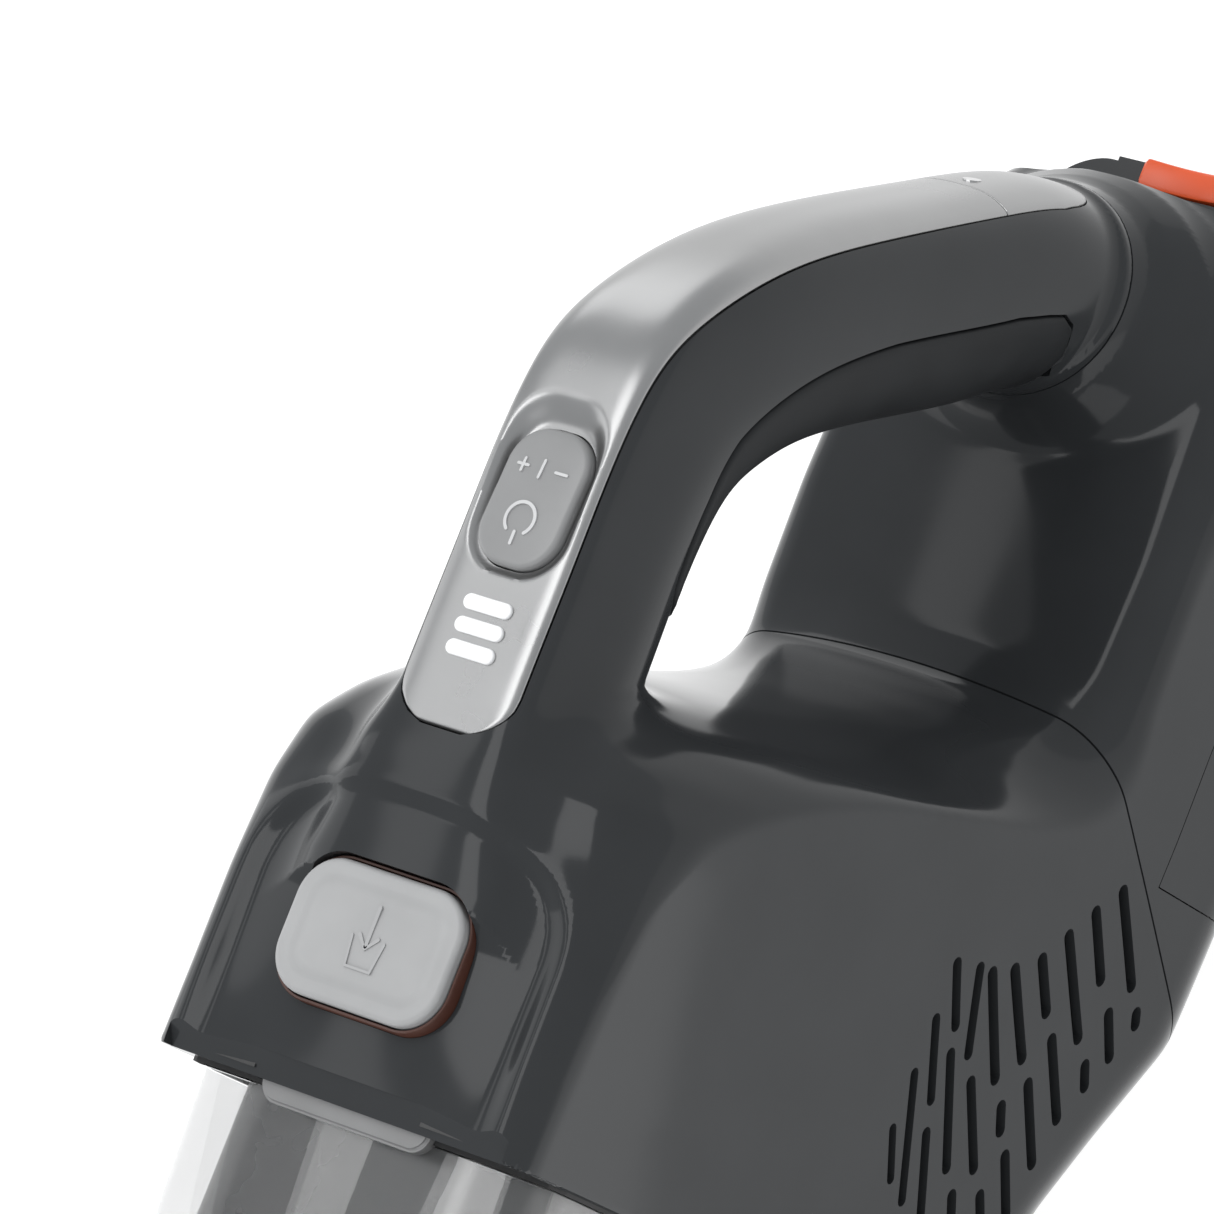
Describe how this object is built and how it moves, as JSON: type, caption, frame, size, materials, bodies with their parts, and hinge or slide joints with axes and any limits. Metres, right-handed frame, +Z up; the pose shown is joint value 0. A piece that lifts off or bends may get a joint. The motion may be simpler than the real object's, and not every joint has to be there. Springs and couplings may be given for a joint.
{
  "type": "handheld vacuum",
  "caption": "Cordless handheld vacuum with a clear hinged dust bowl at the nose, a loop handle with a power key, side exhaust slots and a slide-in battery.",
  "frame": {"origin": "on the surface it stands on, under the middle of its length and width", "axes": "+Z up, nozzle towards -Y, battery end towards +Y, X across; the two sides mirror each other about X = 0"},
  "size_m": [0.102, 0.404, 0.2332],
  "materials": {
    "housing_grey": "satin dark grey moulding",
    "soft_grip": "matt soft-touch insert",
    "satin_silver": "satin silver lacquer",
    "power_grey": "satin mid grey",
    "button_grey": "matt light grey",
    "catch_grey": "satin grey",
    "trim_brown": "dark translucent surround",
    "light_white": "white light bars",
    "clear_plastic": "clear moulded bowl",
    "filter_paper": "pleated filter paper",
    "black_rubber": "black rubber",
    "inner_black": "matt black",
    "foam_black": "open foam",
    "steel": "bright steel",
    "motor_alloy": "plated can",
    "impeller_alloy": "bare alloy",
    "board_green": "solder mask",
    "cell_wrap": "printed sleeve on a round cell",
    "signal_orange": "satin orange"
  },
  "bodies": {
    "body": {"main_housing": "housing_grey", "rear_housing": "housing_grey", "power_panel": "satin_silver", "panel_end_cap": "satin_silver", "panel_screw": "steel", "grip_insert": "soft_grip", "charge_lights": "light_white", "circuit_board": "board_green", "power_switch": "inner_black", "button_trim": "trim_brown", "catch_pin": "steel", "catch_spring": "steel", "bowl_hinge_pin": "steel", "bowl_gasket": "black_rubber", "filter_frame": "inner_black", "filter_shroud": "catch_grey", "pleated_filter": "filter_paper", "fan_shroud": "inner_black", "motor_can": "motor_alloy", "motor_mount": "black_rubber", "exhaust_screen_left": "foam_black", "exhaust_screen_right": "foam_black", "terminal_block": "inner_black"},
    "power_key": {"power_button": "power_grey"},
    "empty_key": {"empty_button": "button_grey"},
    "catch": {"bowl_catch": "catch_grey"},
    "bowl": {"dust_bowl": "clear_plastic", "inlet_duct": "inner_black"},
    "flap": {"inlet_flap": "black_rubber"},
    "rotor": {"impeller": "impeller_alloy", "motor_shaft": "steel"},
    "battery": {"battery_case": "housing_grey", "battery_lid": "inner_black", "battery_cell_1": "cell_wrap", "battery_cell_2": "cell_wrap", "battery_cell_3": "cell_wrap", "battery_cell_4": "cell_wrap", "battery_cell_5": "cell_wrap"},
    "release_key": {"battery_release": "signal_orange"}
  },
  "joints": [
    {"name": "power_press", "type": "slide", "parent": "body", "child": "power_key", "axis": [0, 0, -1], "range_m": [0, 0.0012], "stiffness_N_per_m": 600},
    {"name": "empty_press", "type": "slide", "parent": "body", "child": "empty_key", "axis": [0, 0, -1], "range_m": [0, 0.0016], "stiffness_N_per_m": 800, "deforming": ["catch_spring"]},
    {"name": "catch_turn", "type": "hinge", "parent": "body", "child": "catch", "pos_m": [0, -0.046, 0.2135], "axis": [1, 0, 0], "range_deg": [-5, 0]},
    {"name": "bowl_open", "type": "hinge", "parent": "body", "child": "bowl", "pos_m": [0, -0.058, 0.0255], "axis": [1, 0, 0], "range_deg": [0, 60]},
    {"name": "flap_swing", "type": "hinge", "parent": "bowl", "child": "flap", "pos_m": [0, -0.1392, 0.069], "axis": [1, 0, 0], "range_deg": [0, 50]},
    {"name": "rotor_spin", "type": "hinge", "parent": "body", "child": "rotor", "pos_m": [0, 0, 0.128], "axis": [0, 1, 0], "continuous": true},
    {"name": "battery_slide", "type": "slide", "parent": "body", "child": "battery", "axis": [0, 1, 0], "range_m": [0, 0.12]},
    {"name": "release_press", "type": "slide", "parent": "battery", "child": "release_key", "axis": [0, 0, -1], "range_m": [0, 0.003], "stiffness_N_per_m": 500}
  ],
  "couplings": [
    {"joint": "catch_turn", "follows": "empty_press", "rad_per_m": -52}
  ]
}
